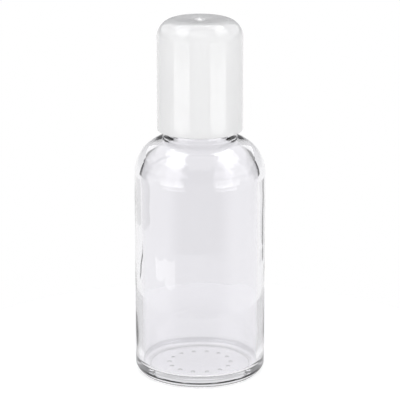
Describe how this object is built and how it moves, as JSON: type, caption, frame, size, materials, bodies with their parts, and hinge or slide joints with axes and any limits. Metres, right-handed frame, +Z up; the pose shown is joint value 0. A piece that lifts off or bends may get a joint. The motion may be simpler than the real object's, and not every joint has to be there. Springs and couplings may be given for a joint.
{
  "type": "roll on bottle",
  "caption": "Clear glass roll-on bottle with a round shoulder, a ball in a snap-in housing on the neck and a plain white screw cap with a rounded crown.",
  "frame": {"origin": "centre of the flat ring that the bottle stands on", "axes": "+Z up along the bottle's axis, +X to the right in the front view, +Y away from the viewer"},
  "size_m": [0.0384, 0.0384, 0.107],
  "materials": {
    "clear_glass": "clear moulded glass, faint grey-green in the thick base",
    "housing_plastic": "natural soft polyethylene",
    "ball_plastic": "polished white plastic",
    "white_cap": "glossy white moulded plastic",
    "liner_foam": "soft white foamed disc"
  },
  "bodies": {
    "bottle": {"glass_bottle": "clear_glass", "ball_housing": "housing_plastic"},
    "ball": {"roller_ball": "ball_plastic"},
    "liner": {"cap_liner": "liner_foam"},
    "cap": {"screw_cap": "white_cap"}
  },
  "joints": [
    {"name": "cap_lift", "type": "slide", "parent": "bottle", "child": "liner", "axis": [0, 0, 1], "range_m": [0, 0.0331]},
    {"name": "cap_turn", "type": "hinge", "parent": "liner", "child": "cap", "pos_m": [0, 0, 0.0741], "axis": [0, 0, 1], "range_deg": [0, 990]},
    {"name": "ball_roll", "type": "hinge", "parent": "bottle", "child": "ball", "pos_m": [0, 0, 0.09477], "axis": [1, 0, 0], "continuous": true}
  ],
  "couplings": [
    {"joint": "cap_lift", "follows": "cap_turn", "m_per_rad": 0.0019099}
  ]
}
